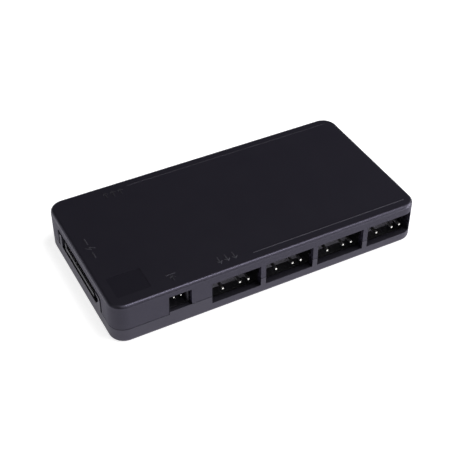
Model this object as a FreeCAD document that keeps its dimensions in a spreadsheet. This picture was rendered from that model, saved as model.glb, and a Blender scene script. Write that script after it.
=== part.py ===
"""Fan-lighting hub: two moulded case halves round a board with pin headers and sockets.

Millimetres. The origin is the middle of the underside, +X runs along the case to the
end without a socket, -Y is the front with the input socket, and +Z is up.
"""
import FreeCAD
import Part
import os
import Sketcher

# Driving sizes. Heights are counted up from the surface that a piece stands on.
DIMENSIONS = {
    # case
    "case_width": 47.6,
    "case_height": 12.6,
    "corner_radius": 4.3,
    "edge_radius": 1.0,
    "wall": 1.3,
    "roof": 1.5,
    "floor_thickness": 1.2,
    "seam_low": 4.5,
    "seam_step": 0.85,
    "seam_gap": 0.15,
    "lip_thickness": 0.6,
    "lip_height": 1.0,
    "lip_clearance": 0.1,
    # rows of output ports, right-aligned in the case
    "port_pitch": 16.0,
    "port_width": 14.5,
    "port_height": 6.8,
    "front_port_count": 4,
    "back_port_count": 5,
    "row_end_margin": 1.15,
    "inlet_zone": 10.85,
    # board
    "board_rest": 0.55,
    "board_thickness": 1.2,
    "board_clearance": 0.3,
    # pin headers
    "pin_spacing": 2.54,
    "pin_places": 4,
    "pin_size": 0.64,
    "pin_rise": 3.3,
    "pin_tip_inset": 0.65,
    "pin_tip_length": 0.5,
    "pin_tip_taper": 0.08,
    "pin_bend": 0.5,
    "pin_tail": 0.35,
    "pin_tail_run": 0.9,
    "pin_clearance": 0.03,
    "pin_hole": 1.1,
    "header_inset": 5.1,
    "header_depth": 2.54,
    "header_height": 4.6,
    "header_groove": 0.35,
    # input socket
    "input_port_gap": 5.85,
    "input_width": 6.5,
    "input_headroom": 0.55,
    "socket_play": 0.18,
    "socket_inset": 1.5,
    "socket_depth": 7.6,
    "socket_wall": 0.6,
    "socket_cavity_depth": 5.6,
    "socket_pin_pitch": 2.0,
    "socket_pin_size": 0.5,
    "socket_pin_rise": 5.15,
    "socket_pin_inset": 0.3,
    # power inlet
    "inlet_height": 7.05,
    "inlet_chamfer": 0.7,
    "inlet_gap": 0.95,
    "cheek_width": 1.4,
    "inlet_mouth_width": 26.4,
    "inlet_mouth_shift": -0.2,
    "inlet_sill": 0.45,
    "mouth_key_width": 1.9,
    "mouth_key_low": 2.2,
    "mouth_key_high": 1.2,
    "tongue_width": 20.6,
    "tongue_shift": -0.2,
    "tongue_length": 7.6,
    "tongue_thickness": 1.2,
    "tongue_rise": 3.45,
    "key_width": 1.1,
    "key_height": 1.3,
    "inlet_body_depth": 5.2,
    "inlet_body_height": 6.2,
    "inlet_body_overhang": 0.5,
    "arm_width": 1.1,
    "arm_setback": 2.2,
    "contact_count": 15,
    "contact_pitch": 1.27,
    "contact_width": 0.84,
    "contact_thickness": 0.2,
    "contact_tip_inset": 0.3,
    "contact_proud": 0.04,
    "contact_foot": 1.4,
    "contact_clearance": 0.03,
    # screw bosses and screws
    "boss_diameter": 5.0,
    "boss_rise": 2.25,
    "boss_hole_clearance": 0.3,
    "shoulder_width": 0.9,
    "left_boss_end": 6.0,
    "left_boss_gap": 1.2,
    "right_boss_end": 6.5,
    "right_boss_setback": 6.26,
    "screw_core": 1.6,
    "screw_clearance": 0.3,
    "pilot_clearance": 0.05,
    "screw_length": 8.0,
    "pilot_spare": 0.6,
    "screw_head": 3.5,
    "screw_head_height": 1.15,
    "screw_head_sunk": 0.35,
    "head_clearance": 0.25,
    "drive_width": 0.45,
    "drive_span": 1.9,
    "drive_depth": 0.6,
    # ribs along the middle, one under the board and one under the roof
    "rib_length": 60.0,
    "rib_width": 1.2,
    "roof_rib_gap": 2.6,
    # shallow recess in the roof's front left corner
    "recess_length": 9.4,
    "recess_width": 7.9,
    "recess_depth": 0.05,
    "recess_end": 3.0,
    "recess_side": 3.8,
    "recess_corner": 0.4,
    # parts on the board, placed from the inlet's back and the board's middle line
    "parts_gap": 3.0,
    "chip_length": 4.9,
    "chip_width": 3.9,
    "chip_height": 1.4,
    "chip_standoff": 0.15,
    "chip_draft": 0.2,
    "chip_side_leads": 4,
    "chip_lead_pitch": 1.27,
    "chip_lead_width": 0.42,
    "chip_lead_thickness": 0.2,
    "chip_lead_reach": 1.05,
    "chip_lead_foot": 0.55,
    "can_diameter": 6.3,
    "can_height": 5.4,
    "can_base": 6.6,
    "can_base_height": 1.0,
    "can_neck": 0.25,
    "can_edge": 0.4,
    "fuse_length": 4.5,
    "fuse_width": 3.2,
    "fuse_height": 1.1,
    "bypass_length": 2.0,
    "bypass_width": 1.25,
    "bypass_height": 0.9,
    "bypass_pitch": 3.2,
    "bypass_count": 3,
    "resistor_length": 1.6,
    "resistor_width": 0.8,
    "resistor_height": 0.45,
    "resistor_setback": 3.0,
}

# Levels and places worked out from the driving sizes.
DERIVED = {
    "case_length": "inlet_zone + back_port_count * port_pitch + row_end_margin",
    "half_length": "case_length / 2",
    "half_width": "case_width / 2",
    "inner_half_length": "half_length - wall",
    "inner_half_width": "half_width - wall",
    "inner_radius": "corner_radius - wall",
    "lip_half_length": "inner_half_length - lip_clearance",
    "lip_half_width": "inner_half_width - lip_clearance",
    "tray_half_length": "lip_half_length - lip_thickness",
    "tray_half_width": "lip_half_width - lip_thickness",
    "tray_radius": "inner_radius - lip_clearance - lip_thickness",
    "roof_under": "case_height - roof",
    "seam_high": "seam_low + seam_step",
    "board_bottom": "floor_thickness + board_rest",
    "board_top": "board_bottom + board_thickness",
    "board_half_length": "tray_half_length - board_clearance",
    "board_half_width": "tray_half_width - board_clearance",
    "port_top": "board_top + port_height",
    "last_port_x": "half_length - row_end_margin - port_pitch / 2",
    "front_port_x": "last_port_x - (front_port_count - 1) * port_pitch",
    "back_port_x": "last_port_x - (back_port_count - 1) * port_pitch",
    "front_row_left": "front_port_x - port_width / 2",
    "back_row_left": "back_port_x - port_width / 2",
    "pin_level": "board_top + pin_rise",
    "header_length": "pin_places * pin_spacing",
    "header_face": "half_width - header_inset",
    "pin_tail_y": "header_face - header_depth - pin_tail_run",
    "input_right": "front_row_left - input_port_gap",
    "input_left": "input_right - input_width",
    "input_x": "input_right - input_width / 2",
    "input_top": "roof_under - input_headroom",
    "socket_top": "input_top - socket_play",
    "socket_face": "half_width - socket_inset",
    "inlet_top": "board_top + inlet_height",
    "cheek_top": "inlet_top - inlet_gap",
    "cheek_side": "inlet_mouth_width / 2 + cheek_width",
    "notch_side": "cheek_side + inlet_gap",
    "mouth_low": "inlet_mouth_shift - inlet_mouth_width / 2",
    "mouth_floor": "seam_low + inlet_sill",
    "tongue_low": "tongue_shift - tongue_width / 2",
    "tongue_bottom": "board_top + tongue_rise",
    "tongue_top": "tongue_bottom + tongue_thickness",
    "inlet_body_x": "tongue_length - half_length",
    "inlet_back": "inlet_body_x + inlet_body_depth",
    "inlet_body_reach": "inlet_body_overhang - mouth_low",
    "contact_first_y": "tongue_shift - (contact_count - 1) * contact_pitch / 2",
    "left_boss_x": "left_boss_end - half_length",
    "left_boss_y": "inlet_body_reach + left_boss_gap + boss_diameter / 2",
    "right_boss_x": "half_length - right_boss_end",
    "right_boss_y": "pin_tail_y - right_boss_setback",
    "boss_top": "board_top + boss_rise",
    "head_seat": "screw_head_sunk + screw_head_height",
    "parts_x": "inlet_back + parts_gap",
    "resistor_y": "pin_tail_y - resistor_setback",
}

# Two places or levels that differ by less than this, in millimetres, are the same.
SAME = 1e-6

doc = FreeCAD.newDocument("fan_lighting_hub")
sizes = doc.addObject("Spreadsheet::Sheet", "Sizes")
sub_parts = []


def fill_sheet():
    """Write the driving sizes as plain numbers and the derived ones as formulas."""
    row = 1
    for name, number in DIMENSIONS.items():
        sizes.set(f"A{row}", name)
        sizes.set(f"B{row}", str(number))
        sizes.setAlias(f"B{row}", name)
        row += 1
    for name, formula in DERIVED.items():
        sizes.set(f"A{row}", name)
        sizes.set(f"B{row}", f"={formula}")
        sizes.setAlias(f"B{row}", name)
        row += 1
    doc.recompute()


def sheet_names(formula):
    """Put the sheet's name before each of its aliases in a formula."""
    words = "".join(c if c.isalnum() or c == "_" else " " for c in formula).split()
    known = {word for word in words if word in DIMENSIONS or word in DERIVED}
    text = ""
    word = ""
    for character in formula + " ":
        if character.isalnum() or character == "_":
            word += character
            continue
        text += f"Sizes.{word}" if word in known else word
        text += character
        word = ""
    return text.strip()


def value(formula):
    """Number that a formula of sheet names gives."""
    return float(sizes.evalExpression(sheet_names(formula)))


def bind(item, prop, formula):
    """Tie a property to a formula of sheet names."""
    item.setExpression(prop, sheet_names(formula))


def new_body(name):
    """Body of one sub-part, kept for the export."""
    body = doc.addObject("PartDesign::Body", name)
    sub_parts.append(body)
    return body


def new_sketch(body, name, role, offset="0"):
    """Sketch on one of the body's own origin planes, moved along the plane's normal."""
    plane = next(item for item in body.Origin.OriginFeatures if item.Role == role)
    sketch = body.newObject("Sketcher::SketchObject", name)
    sketch.AttachmentSupport = (plane, [""])
    sketch.MapMode = "FlatFace"
    bind(sketch, "AttachmentOffset.Base.z", offset)
    return sketch


def add_dimension(sketch, kind, first, second, formula):
    """Driving dimension between two sketch points, tied to the sheet."""
    index = sketch.addConstraint(Sketcher.Constraint(kind, *first, *second, value(formula)))
    bind(sketch, f"Constraints[{index}]", formula)


def outline(sketch, corners):
    """Closed straight-sided outline, each corner dimensioned from the sketch's origin."""
    points = [FreeCAD.Vector(value(across), value(up), 0) for across, up in corners]
    count = len(points)
    first = sketch.GeometryCount
    for index in range(count):
        sketch.addGeometry(Part.LineSegment(points[index], points[(index + 1) % count]), False)
    for index in range(count):
        following = first + (index + 1) % count
        sketch.addConstraint(Sketcher.Constraint("Coincident", first + index, 2, following, 1))
    for index, (across, up) in enumerate(corners):
        add_dimension(sketch, "DistanceX", (-1, 1), (first + index, 1), across)
        add_dimension(sketch, "DistanceY", (-1, 1), (first + index, 1), up)


def rectangle(sketch, left, bottom, right, top):
    """Rectangle between two corners."""
    outline(sketch, [(left, bottom), (right, bottom), (right, top), (left, top)])


def square(sketch, across, up, half):
    """Square about a middle point, from half its side."""
    rectangle(sketch, f"{across} - {half}", f"{up} - {half}", f"{across} + {half}", f"{up} + {half}")


def circle(sketch, across, up, diameter):
    """Circle with its centre dimensioned from the sketch's origin."""
    centre = FreeCAD.Vector(value(across), value(up), 0)
    ring = Part.Circle(centre, FreeCAD.Vector(0, 0, 1), value(diameter) / 2)
    index = sketch.addGeometry(ring, False)
    add_dimension(sketch, "DistanceX", (-1, 1), (index, 3), across)
    add_dimension(sketch, "DistanceY", (-1, 1), (index, 3), up)
    number = sketch.addConstraint(Sketcher.Constraint("Diameter", index, value(diameter)))
    bind(sketch, f"Constraints[{number}]", diameter)


def settle(feature):
    """Recompute and stop at once if the feature failed."""
    doc.recompute()
    if "Invalid" in feature.State or "Error" in feature.State:
        raise RuntimeError(f"{feature.Label} failed: {feature.State}")
    return feature


def pad(body, name, sketch, length, reverse=False, symmetric=False):
    """Add a sketch's area, pulled along its normal, against it or both ways."""
    feature = body.newObject("PartDesign::Pad", name)
    feature.Profile = sketch
    feature.SideType = "Symmetric" if symmetric else "One side"
    feature.Reversed = reverse
    bind(feature, "Length", length)
    return settle(feature)


def pocket(body, name, sketch, length, reverse=False):
    """Cut a sketch's area, against its normal unless reversed."""
    before = body.Shape.Volume
    feature = body.newObject("PartDesign::Pocket", name)
    feature.Profile = sketch
    feature.Reversed = reverse
    bind(feature, "Length", length)
    settle(feature)
    if body.Shape.Volume >= before:
        raise RuntimeError(f"{body.Label}: {name} cuts nothing")
    return feature


def repeat(body, name, feature, sketch, axis, count, pitch, reverse=False):
    """Straight row of copies of a feature along an axis of its sketch, or against it."""
    row = body.newObject("PartDesign::LinearPattern", name)
    row.Originals = [feature]
    row.Direction = (sketch, [axis])
    row.Reversed = reverse
    row.Mode = "Spacing"
    bind(row, "Offset", pitch)
    bind(row, "Occurrences", count)
    body.Tip = row
    return settle(row)


def dress_edges(body, kind, name, size, wanted):
    """Fillet or chamfer the edges of the body's tip that the test picks."""
    tip = body.Tip
    edges = tip.Shape.Edges
    names = [f"Edge{index + 1}" for index, edge in enumerate(edges) if wanted(edge)]
    feature = body.newObject(f"PartDesign::{kind}", name)
    feature.Base = (tip, names)
    bind(feature, "Radius" if kind == "Fillet" else "Size", size)
    return settle(feature)


def is_upright(edge):
    """True for a straight edge along Z."""
    ends = [vertex.Point for vertex in edge.Vertexes]
    if len(ends) != 2:
        return False
    run = ends[1] - ends[0]
    return abs(run.x) < SAME and abs(run.y) < SAME


def at_level(height):
    """Test for an edge that lies wholly at a height."""
    def test(edge):
        box = edge.BoundBox
        return abs(box.ZMin - height) < SAME and abs(box.ZMax - height) < SAME
    return test


def on_plane(depth):
    """Test for an edge that lies wholly in a plane of constant Y."""
    def test(edge):
        box = edge.BoundBox
        return abs(box.YMin - depth) < SAME and abs(box.YMax - depth) < SAME
    return test


def upright_corner(half_x, half_y):
    """Test for an upright edge at one of the four corners of a rectangle."""
    def test(edge):
        point = edge.Vertexes[0].Point
        at_corner = abs(abs(point.x) - half_x) < SAME and abs(abs(point.y) - half_y) < SAME
        return at_corner and is_upright(edge)
    return test


def boss_places():
    """Formulas for the middles of the four screw bosses."""
    return [
        ("left_boss_x", "left_boss_y"),
        ("left_boss_x", "-left_boss_y"),
        ("right_boss_x", "right_boss_y"),
        ("right_boss_x", "-right_boss_y"),
    ]


def port_rows():
    """Front row and back row: name, side, first port's middle and number of ports."""
    return [
        ("front", -1, "front_port_x", "front_port_count"),
        ("back", 1, "back_port_x", "back_port_count"),
    ]


def cut_ports(body, low, high):
    """Cut both rows of port openings through a shell's walls between two heights."""
    for row, side, first_x, count in port_rows():
        face = "half_width" if side < 0 else "-half_width"
        sketch = new_sketch(body, f"{body.Label}_{row}_port_sketch", "XZ_Plane", face)
        left = f"{first_x} - port_width / 2"
        right = f"{first_x} + port_width / 2"
        rectangle(sketch, left, low, right, high)
        name = f"{body.Label}_{row}_port"
        cut = pocket(body, name, sketch, "corner_radius", reverse=side > 0)
        repeat(body, f"{name}s", cut, sketch, "H_Axis", count, "port_pitch")


def build_base_shell():
    """Tray with stepped rim, lower halves of the ports, inlet cheeks, bosses and board rests."""
    body = new_body("base_shell")
    sketch = new_sketch(body, "base_outline", "XY_Plane")
    rectangle(sketch, "-half_length", "-half_width", "half_length", "half_width")
    pad(body, "base_block", sketch, "seam_high")
    corners = upright_corner(value("half_length"), value("half_width"))
    dress_edges(body, "Fillet", "base_corners", "corner_radius", corners)
    dress_edges(body, "Fillet", "base_bottom_edge", "edge_radius", at_level(0))

    # the rim is lower beside the inlet, in front as far as the input socket
    for row, side, end in (("front", -1, "input_left + seam_gap"), ("back", 1, "back_row_left")):
        sketch = new_sketch(body, f"low_rim_{row}_outline", "XY_Plane", "seam_high")
        near = f"{side} * cheek_side"
        far = f"{side} * (half_width + wall)"
        low, high = (far, near) if side < 0 else (near, far)
        rectangle(sketch, "-half_length - wall", low, end, high)
        pocket(body, f"low_rim_{row}", sketch, "seam_step")

    # a thin lip inside the rim rises behind the cover's wall, so that no light passes the seam
    sketch = new_sketch(body, "lip_outline", "XY_Plane", "floor_thickness")
    rectangle(sketch, "-lip_half_length", "-lip_half_width", "lip_half_length", "lip_half_width")
    pad(body, "lip_block", sketch, "seam_high + lip_height - floor_thickness")
    sketch = new_sketch(body, "tray_outline", "XY_Plane", "floor_thickness")
    rectangle(sketch, "-tray_half_length", "-tray_half_width", "tray_half_length", "tray_half_width")
    pocket(body, "tray", sketch, "case_height", reverse=True)
    corners = upright_corner(value("tray_half_length"), value("tray_half_width"))
    dress_edges(body, "Fillet", "tray_corners", "tray_radius", corners)
    corners = upright_corner(value("lip_half_length"), value("lip_half_width"))
    dress_edges(body, "Fillet", "lip_corners", "inner_radius - lip_clearance", corners)

    # two cheeks stand beside the inlet's mouth and fill the cover's notch
    sketch = new_sketch(body, "cheek_outline", "YZ_Plane", "-half_length")
    outline(sketch, [
        ("-cheek_side", "floor_thickness"),
        ("cheek_side", "floor_thickness"),
        ("cheek_side", "cheek_top - inlet_chamfer"),
        ("cheek_side - inlet_chamfer", "cheek_top"),
        ("inlet_chamfer - cheek_side", "cheek_top"),
        ("-cheek_side", "cheek_top - inlet_chamfer"),
    ])
    pad(body, "cheeks", sketch, "half_length - tray_half_length")

    # the mouth's front end is keyed by a slope below and a slope above
    sketch = new_sketch(body, "mouth_outline", "YZ_Plane", "-half_length - wall")
    outline(sketch, [
        ("mouth_low + mouth_key_width", "mouth_floor"),
        ("mouth_low + inlet_mouth_width", "mouth_floor"),
        ("mouth_low + inlet_mouth_width", "case_height"),
        ("mouth_low + mouth_key_width", "case_height"),
        ("mouth_low + mouth_key_width", "cheek_top"),
        ("mouth_low", "cheek_top - mouth_key_high"),
        ("mouth_low", "mouth_floor + mouth_key_low"),
    ])
    pocket(body, "mouth", sketch, "3 * wall", reverse=True)

    cut_ports(body, "board_top", "case_height")

    # a bay in the wall takes the front of the input socket
    sketch = new_sketch(body, "socket_bay_outline", "XY_Plane", "board_top")
    rectangle(sketch, "input_left", "-inner_half_width", "input_right", "-tray_half_width + board_clearance")
    pocket(body, "socket_bay", sketch, "case_height", reverse=True)

    # the board rests on the bosses' shoulders and on a rib along the middle
    shoulder_size = "boss_diameter + 2 * (shoulder_width + boss_hole_clearance)"
    stages = (
        ("shoulder", shoulder_size, "board_bottom"),
        ("boss", "boss_diameter", "boss_top"),
    )
    for kind, diameter, top in stages:
        sketch = new_sketch(body, f"base_{kind}_outline", "XY_Plane", "floor_thickness / 2")
        for across, up in boss_places():
            circle(sketch, across, up, diameter)
        pad(body, f"base_{kind}s", sketch, f"{top} - floor_thickness / 2")
    sketch = new_sketch(body, "rib_outline", "XY_Plane", "floor_thickness / 2")
    rectangle(sketch, "-rib_length / 2", "-rib_width / 2", "rib_length / 2", "rib_width / 2")
    pad(body, "rib", sketch, "board_bottom - floor_thickness / 2")

    # stepped screw holes, from the underside up
    holes = (
        ("shank_hole", "screw_core + 2 * screw_clearance", "boss_top"),
        ("head_hole", "screw_head + 2 * head_clearance", "head_seat"),
    )
    for name, diameter, depth in holes:
        sketch = new_sketch(body, f"{name}_outline", "XY_Plane")
        for across, up in boss_places():
            circle(sketch, across, up, diameter)
        pocket(body, f"{name}s", sketch, depth, reverse=True)


def build_top_cover():
    """Upper shell: crowned edge, cavity, port openings, inlet notch, bosses and roof recess."""
    body = new_body("top_cover")
    sketch = new_sketch(body, "cover_outline", "XY_Plane", "seam_low + seam_gap")
    rectangle(sketch, "-half_length", "-half_width", "half_length", "half_width")
    pad(body, "cover_block", sketch, "case_height - seam_low - seam_gap")
    corners = upright_corner(value("half_length"), value("half_width"))
    dress_edges(body, "Fillet", "cover_corners", "corner_radius", corners)
    dress_edges(body, "Fillet", "cover_top_edge", "edge_radius", at_level(value("case_height")))

    sketch = new_sketch(body, "cover_cavity_outline", "XY_Plane", "seam_low + seam_gap")
    rectangle(sketch, "-inner_half_length", "-inner_half_width", "inner_half_length", "inner_half_width")
    pocket(body, "cover_cavity", sketch, "roof_under - seam_low - seam_gap", reverse=True)
    corners = upright_corner(value("inner_half_length"), value("inner_half_width"))
    dress_edges(body, "Fillet", "cover_cavity_corners", "inner_radius", corners)

    # the lower edge steps up over the base's higher rim
    for row, side, start in (("front", -1, "input_left"), ("back", 1, "back_row_left")):
        sketch = new_sketch(body, f"raised_edge_{row}_outline", "XY_Plane", "seam_high + seam_gap")
        far = f"{side} * (half_width + wall)"
        low, high = (far, "0") if side < 0 else ("0", far)
        rectangle(sketch, start, low, "half_length + wall", high)
        pocket(body, f"raised_edge_{row}", sketch, "seam_step")

    cut_ports(body, "seam_low", "port_top")

    sketch = new_sketch(body, "input_opening_outline", "XZ_Plane", "half_width")
    rectangle(sketch, "input_left", "seam_low", "input_right", "input_top")
    pocket(body, "input_opening", sketch, "corner_radius")

    sketch = new_sketch(body, "inlet_notch_outline", "YZ_Plane", "-half_length - wall")
    outline(sketch, [
        ("-notch_side", "seam_low"),
        ("notch_side", "seam_low"),
        ("notch_side", "inlet_top - inlet_chamfer"),
        ("notch_side - inlet_chamfer", "inlet_top"),
        ("inlet_chamfer - notch_side", "inlet_top"),
        ("-notch_side", "inlet_top - inlet_chamfer"),
    ])
    pocket(body, "inlet_notch", sketch, "3 * wall", reverse=True)

    # bosses hang from the roof and stand on the base's bosses
    sketch = new_sketch(body, "cover_boss_outline", "XY_Plane", "boss_top")
    for across, up in boss_places():
        circle(sketch, across, up, "boss_diameter")
    pad(body, "cover_bosses", sketch, "case_height - roof / 2 - boss_top")
    sketch = new_sketch(body, "roof_rib_outline", "XY_Plane", "board_top + roof_rib_gap")
    rectangle(sketch, "-rib_length / 2", "-rib_width / 2", "rib_length / 2", "rib_width / 2")
    pad(body, "roof_rib", sketch, "case_height - roof / 2 - board_top - roof_rib_gap")
    sketch = new_sketch(body, "pilot_outline", "XY_Plane", "boss_top")
    for across, up in boss_places():
        circle(sketch, across, up, "screw_core + 2 * pilot_clearance")
    pocket(body, "pilot_holes", sketch, "head_seat + screw_length + pilot_spare - boss_top", reverse=True)

    sketch = new_sketch(body, "recess_outline", "XY_Plane", "case_height")
    left = "recess_end - half_length"
    low = "recess_side - half_width"
    rectangle(sketch, left, low, f"{left} + recess_length", f"{low} + recess_width")
    pocket(body, "recess", sketch, "recess_depth")
    inside = (value(left), value(low), value(f"{left} + recess_length"), value(f"{low} + recess_width"))

    def recess_corner(edge):
        point = edge.Vertexes[0].Point
        at_x = min(abs(point.x - inside[0]), abs(point.x - inside[2])) < SAME
        at_y = min(abs(point.y - inside[1]), abs(point.y - inside[3])) < SAME
        return at_x and at_y and is_upright(edge)

    dress_edges(body, "Fillet", "recess_corners", "recess_corner", recess_corner)


def pin_offsets():
    """Distances of the three fitted pins from a port's middle; the second place is empty."""
    fitted = [place for place in range(int(value("pin_places"))) if place != 1]
    return [f"({place} - (pin_places - 1) / 2) * pin_spacing" for place in fitted]


def build_circuit_board():
    """Board with holes for the bosses and for every soldered pin."""
    body = new_body("circuit_board")
    sketch = new_sketch(body, "board_outline", "XY_Plane", "board_bottom")
    rectangle(sketch, "-board_half_length", "-board_half_width", "board_half_length", "board_half_width")
    pad(body, "board_blank", sketch, "board_thickness")
    corners = upright_corner(value("board_half_length"), value("board_half_width"))
    dress_edges(body, "Fillet", "board_corners", "tray_radius - board_clearance", corners)

    sketch = new_sketch(body, "board_boss_hole_outline", "XY_Plane", "board_top")
    for across, up in boss_places():
        circle(sketch, across, up, "boss_diameter + 2 * boss_hole_clearance")
    pocket(body, "board_boss_holes", sketch, "2 * board_thickness")

    for row, side, first_x, count in port_rows():
        sketch = new_sketch(body, f"{row}_pin_hole_outline", "XY_Plane", "board_top")
        for offset in pin_offsets():
            circle(sketch, f"{first_x} + {offset}", f"{side} * pin_tail_y", "pin_hole")
        holes = pocket(body, f"{row}_pin_hole", sketch, "2 * board_thickness")
        repeat(body, f"{row}_pin_holes", holes, sketch, "H_Axis", count, "port_pitch")

    sketch = new_sketch(body, "input_pin_hole_outline", "XY_Plane", "board_top")
    for sign in (-1, 1):
        across = f"input_x + {sign} * socket_pin_pitch / 2"
        circle(sketch, across, "-(socket_face - socket_depth - pin_tail_run)", "pin_hole")
    pocket(body, "input_pin_holes", sketch, "2 * board_thickness")


def build_header(row, side, index, port_x):
    """Insulator strip of one output: square passages for the pins and a groove between places."""
    body = new_body(f"{row}_header_{index}")
    face = "header_face" if side < 0 else "-header_face"
    sketch = new_sketch(body, f"{body.Label}_outline", "XZ_Plane", face)
    left = f"{port_x} - header_length / 2"
    right = f"{port_x} + header_length / 2"
    rectangle(sketch, left, "board_top", right, "board_top + header_height")
    pad(body, f"{body.Label}_block", sketch, "header_depth", reverse=side < 0)

    sketch = new_sketch(body, f"{body.Label}_passage_outline", "XZ_Plane", face)
    half = "(pin_size / 2 + pin_clearance)"
    for offset in pin_offsets():
        middle = f"{port_x} + {offset}"
        square(sketch, middle, "pin_level", half)
    pocket(body, f"{body.Label}_passages", sketch, "2 * header_depth", reverse=side > 0)

    sketch = new_sketch(body, f"{body.Label}_groove_outline", "XZ_Plane", face)
    middle = f"{left} + pin_spacing"
    top = "board_top + header_height"
    outline(sketch, [
        (f"{middle} - header_groove", top),
        (middle, f"{top} - header_groove"),
        (f"{middle} + header_groove", top),
    ])
    groove = pocket(body, f"{body.Label}_groove", sketch, "2 * header_depth", reverse=side > 0)
    repeat(body, f"{body.Label}_grooves", groove, sketch, "H_Axis", "pin_places - 1", "pin_spacing")


def build_pins(name, side, middles, half, level, tip, tail):
    """Square pins that run in from the case's face, bend down and pass through the board.

    middles: formulas for the pins' places along the case; half: half a pin's side; level: height of
    the pins' middle; tip, tail: distances of the tips and of the tails' middle from the case's middle.
    """
    body = new_body(name)
    root = f"({tip} - pin_tip_length)"
    sketch = new_sketch(body, f"{name}_run_outline", "XZ_Plane", root if side < 0 else f"-{root}")
    for middle in middles:
        square(sketch, middle, level, half)
    pad(body, f"{name}_runs", sketch, f"{root} - ({tail}) + {half}", reverse=side < 0)
    sketch = new_sketch(body, f"{name}_tip_outline", "XZ_Plane", root if side < 0 else f"-{root}")
    for middle in middles:
        square(sketch, middle, level, half)
    tips = pad(body, f"{name}_tips", sketch, "pin_tip_length", reverse=side > 0)
    bind(tips, "TaperAngle", "-atan(pin_tip_taper / pin_tip_length)")
    settle(tips)

    sketch = new_sketch(body, f"{name}_tail_outline", "XY_Plane", f"{level} + {half}")
    for middle in middles:
        square(sketch, middle, f"{side} * ({tail})", half)
    pad(body, f"{name}_tails", sketch, f"{level} + {half} - board_bottom + pin_tail", reverse=True)

    outer = (side * (value(tail) - value(half)), value(f"{level} + {half}"))

    def is_bend(edge):
        box = edge.BoundBox
        return on_plane(outer[0])(edge) and at_level(outer[1])(edge) and box.XLength > SAME

    dress_edges(body, "Fillet", f"{name}_bends", "pin_bend", is_bend)


def build_outputs():
    """Header and pins of every output port, front row then back row."""
    for row, side, first_x, count in port_rows():
        for index in range(int(value(count))):
            port_x = f"{first_x} + {index} * port_pitch"
            build_header(row, side, index + 1, port_x)
            middles = [f"{port_x} + {offset}" for offset in pin_offsets()]
            tip = "(half_width - pin_tip_inset)"
            name = f"{row}_pins_{index + 1}"
            build_pins(name, side, middles, "pin_size / 2", "pin_level", tip, "pin_tail_y")


def build_input_socket():
    """Two-pin side-entry socket: shrouded cavity open to the front, with its pins."""
    body = new_body("input_socket")
    half = "(input_width / 2 - socket_play)"
    sketch = new_sketch(body, "socket_outline", "XZ_Plane", "socket_face")
    rectangle(sketch, f"input_x - {half}", "board_top", f"input_x + {half}", "socket_top")
    pad(body, "socket_block", sketch, "socket_depth", reverse=True)

    sketch = new_sketch(body, "socket_cavity_outline", "XZ_Plane", "socket_face")
    inner = f"({half} - socket_wall)"
    ceiling = "socket_top - socket_wall"
    rectangle(sketch, f"input_x - {inner}", "seam_high", f"input_x + {inner}", ceiling)
    pocket(body, "socket_cavity", sketch, "socket_cavity_depth")

    sketch = new_sketch(body, "socket_passage_outline", "XZ_Plane", "socket_face")
    hole = "(socket_pin_size / 2 + pin_clearance)"
    level = "(board_top + socket_pin_rise)"
    middles = [f"input_x + {sign} * socket_pin_pitch / 2" for sign in (-1, 1)]
    for middle in middles:
        square(sketch, middle, level, hole)
    pocket(body, "socket_passages", sketch, "2 * socket_depth")

    tip = "(socket_face - socket_pin_inset)"
    tail = "socket_face - socket_depth - pin_tail_run"
    build_pins("input_pins", -1, middles, "socket_pin_size / 2", level, tip, tail)


def build_power_inlet():
    """Body on the board with the keyed tongue that reaches the case's end, and two guide arms."""
    body = new_body("power_inlet")
    sketch = new_sketch(body, "inlet_body_outline", "YZ_Plane", "inlet_body_x")
    low = "mouth_low - inlet_body_overhang"
    high = "mouth_low + inlet_mouth_width + inlet_body_overhang"
    rectangle(sketch, low, "board_top", high, "board_top + inlet_body_height")
    pad(body, "inlet_body", sketch, "inlet_body_depth")

    sketch = new_sketch(body, "tongue_outline", "YZ_Plane", "-half_length")
    key_left = "tongue_low + tongue_width - key_width"
    tongue_right = "tongue_low + tongue_width"
    outline(sketch, [
        ("tongue_low", "tongue_bottom"),
        (tongue_right, "tongue_bottom"),
        (tongue_right, "tongue_top + key_height"),
        (key_left, "tongue_top + key_height"),
        (key_left, "tongue_top"),
        ("tongue_low", "tongue_top"),
    ])
    pad(body, "tongue", sketch, "tongue_length")

    # the arms guide the plug from behind the base's cheeks
    sketch = new_sketch(body, "arm_outline", "YZ_Plane", "wall + arm_setback - half_length")
    for edge, outward in (("mouth_low", -1), ("mouth_low + inlet_mouth_width", 1)):
        inner = f"({edge})"
        outer = f"({edge} + {outward} * arm_width)"
        left, right = (outer, inner) if outward < 0 else (inner, outer)
        rectangle(sketch, left, "board_top", right, "board_top + inlet_body_height")
    pad(body, "arms", sketch, "tongue_length - wall - arm_setback + inlet_body_depth / 2")

    # slots along the tongue and through the body take the contacts
    start = "contact_tip_inset - contact_clearance - half_length"
    sketch = new_sketch(body, "contact_slot_outline", "YZ_Plane", start)
    slot = "(contact_width / 2 + contact_clearance)"
    floor = "tongue_top + contact_proud - contact_thickness - contact_clearance"
    ceiling = "tongue_top + contact_proud + contact_clearance"
    rectangle(sketch, f"contact_first_y - {slot}", floor, f"contact_first_y + {slot}", ceiling)
    slots = pocket(body, "contact_slot", sketch, "2 * tongue_length + inlet_body_depth", reverse=True)
    repeat(body, "contact_slots", slots, sketch, "H_Axis", "contact_count", "contact_pitch")


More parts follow.
